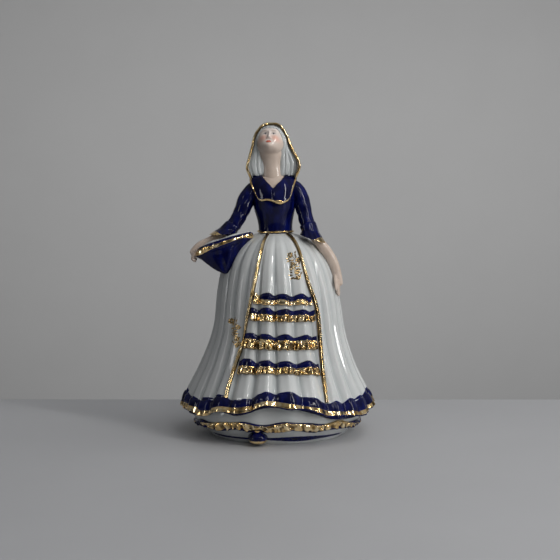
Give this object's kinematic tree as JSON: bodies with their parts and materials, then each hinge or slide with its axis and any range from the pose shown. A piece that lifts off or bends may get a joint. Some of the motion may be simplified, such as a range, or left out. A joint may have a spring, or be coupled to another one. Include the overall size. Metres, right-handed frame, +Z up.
{
  "type": "porcelain figurine",
  "caption": "Hollow porcelain figure of a lady in a wide pleated skirt, hooded veil and shawl collar, lifting one corner of her overskirt, on an open ring foot.",
  "frame": {"origin": "centre of the foot ring on the table plane", "axes": "+Z up along the figure, -Y the way the lady faces, +X to her left"},
  "size_m": [0.1351, 0.1218, 0.2134],
  "materials": {
    "white_glaze": "gloss",
    "cobalt_glaze": "gloss",
    "gilding": "polished",
    "flesh_glaze": "gloss",
    "hair_glaze": "gloss"
  },
  "bodies": {
    "root": {"petticoat_base": "white_glaze", "petticoat_ruffle": "gilding", "slipper": "cobalt_glaze", "skirt": "white_glaze", "hem_flounce": "cobalt_glaze", "apron_ruffle_1": "gilding", "apron_ruffle_2": "gilding", "apron_ruffle_3": "gilding", "apron_ruffle_4": "gilding", "apron_cord_right": "gilding", "apron_cord_left": "gilding", "bodice": "cobalt_glaze", "waistband": "gilding", "collar": "cobalt_glaze", "head": "flesh_glaze", "hair": "hair_glaze", "hood": "white_glaze", "hood_rim": "gilding", "right_sleeve": "cobalt_glaze", "left_sleeve": "cobalt_glaze", "right_cuff": "cobalt_glaze", "left_cuff": "cobalt_glaze", "right_arm": "flesh_glaze", "left_arm": "flesh_glaze", "overskirt_lining": "cobalt_glaze", "overskirt_hem": "gilding", "overskirt_top": "white_glaze"}
  },
  "joints": []
}
